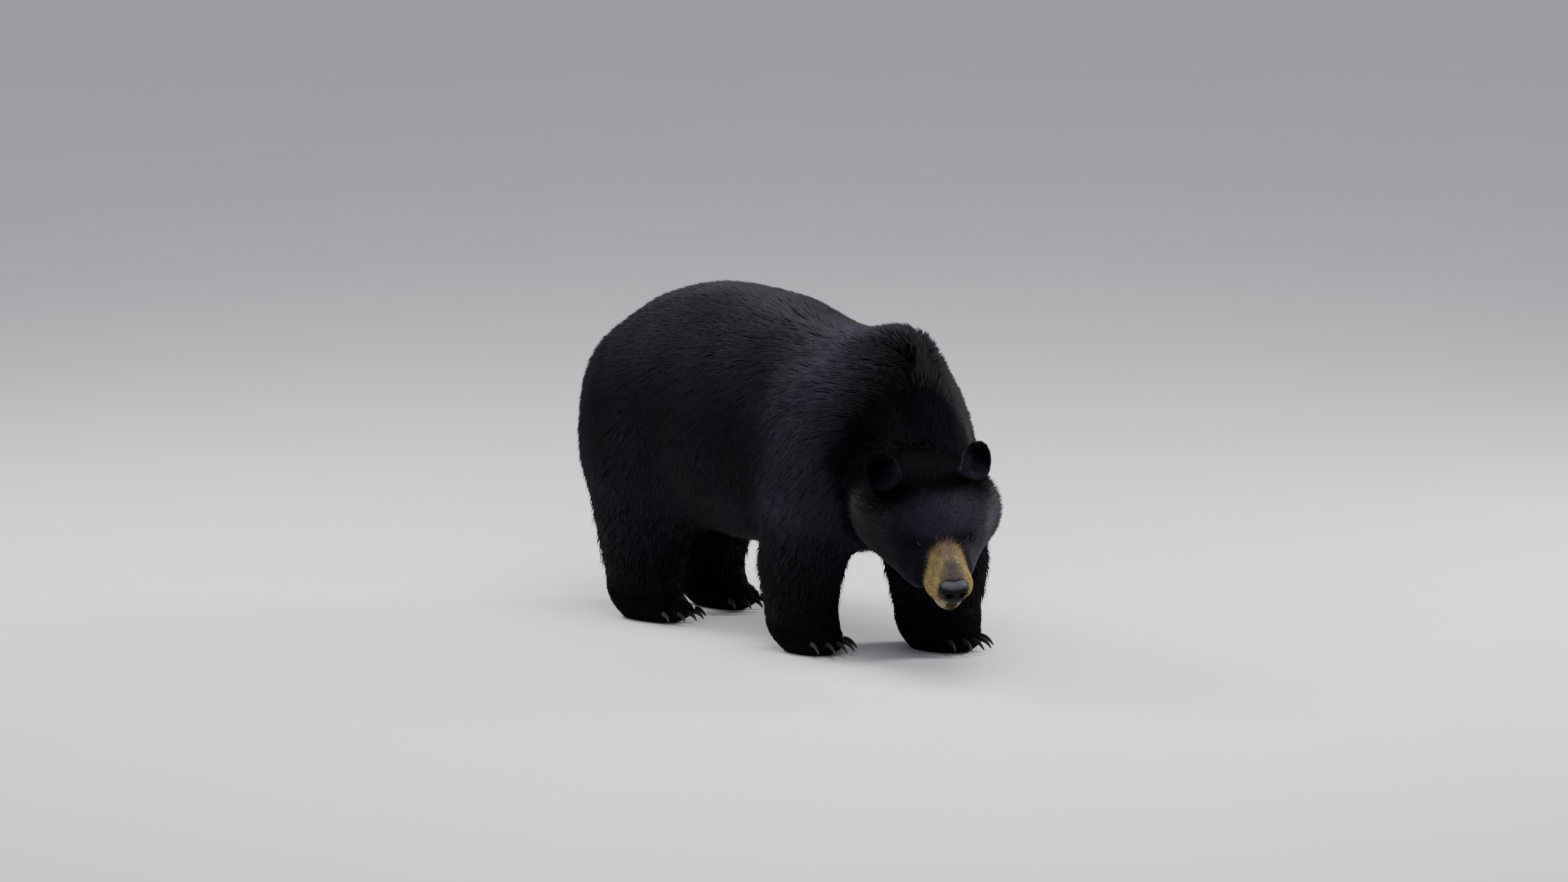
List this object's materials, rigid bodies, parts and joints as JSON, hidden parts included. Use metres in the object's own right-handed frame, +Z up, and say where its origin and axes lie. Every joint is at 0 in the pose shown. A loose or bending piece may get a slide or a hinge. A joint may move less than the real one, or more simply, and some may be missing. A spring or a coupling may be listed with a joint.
{
  "type": "american black bear model",
  "caption": "Life-size standing black bear with a thick coat, its head low and turned to its right; a still model with no joints.",
  "frame": {"origin": "on the floor, under the middle of the bear's bounding box", "axes": "+Z up, +Y towards the tail, +X towards the bear's left side; the body faces -Y"},
  "size_m": [0.6548, 1.6936, 0.9311],
  "materials": {
    "coat": "long soft black fur",
    "muzzle": "short tan fur",
    "nose": "moist bare skin with fine bumps",
    "eye": "wet dark brown",
    "claw": "dark horn"
  },
  "bodies": {
    "root": {"trunk": "coat", "tail": "coat", "neck": "coat", "head": "coat", "muzzle": "muzzle", "lower_jaw": "muzzle", "nose": "nose", "eye_left": "eye", "eye_right": "eye", "ear_left": "coat", "ear_right": "coat", "fore_right_upper": "coat", "fore_right_lower": "coat", "fore_right_paw": "coat", "fore_right_claw_1": "claw", "fore_right_claw_2": "claw", "fore_right_claw_3": "claw", "fore_right_claw_4": "claw", "fore_right_claw_5": "claw", "fore_left_upper": "coat", "fore_left_lower": "coat", "fore_left_paw": "coat", "fore_left_claw_1": "claw", "fore_left_claw_2": "claw", "fore_left_claw_3": "claw", "fore_left_claw_4": "claw", "fore_left_claw_5": "claw", "hind_right_upper": "coat", "hind_right_lower": "coat", "hind_right_paw": "coat", "hind_right_claw_1": "claw", "hind_right_claw_2": "claw", "hind_right_claw_3": "claw", "hind_right_claw_4": "claw", "hind_right_claw_5": "claw", "hind_left_upper": "coat", "hind_left_lower": "coat", "hind_left_paw": "coat", "hind_left_claw_1": "claw", "hind_left_claw_2": "claw", "hind_left_claw_3": "claw", "hind_left_claw_4": "claw", "hind_left_claw_5": "claw"}
  },
  "joints": []
}
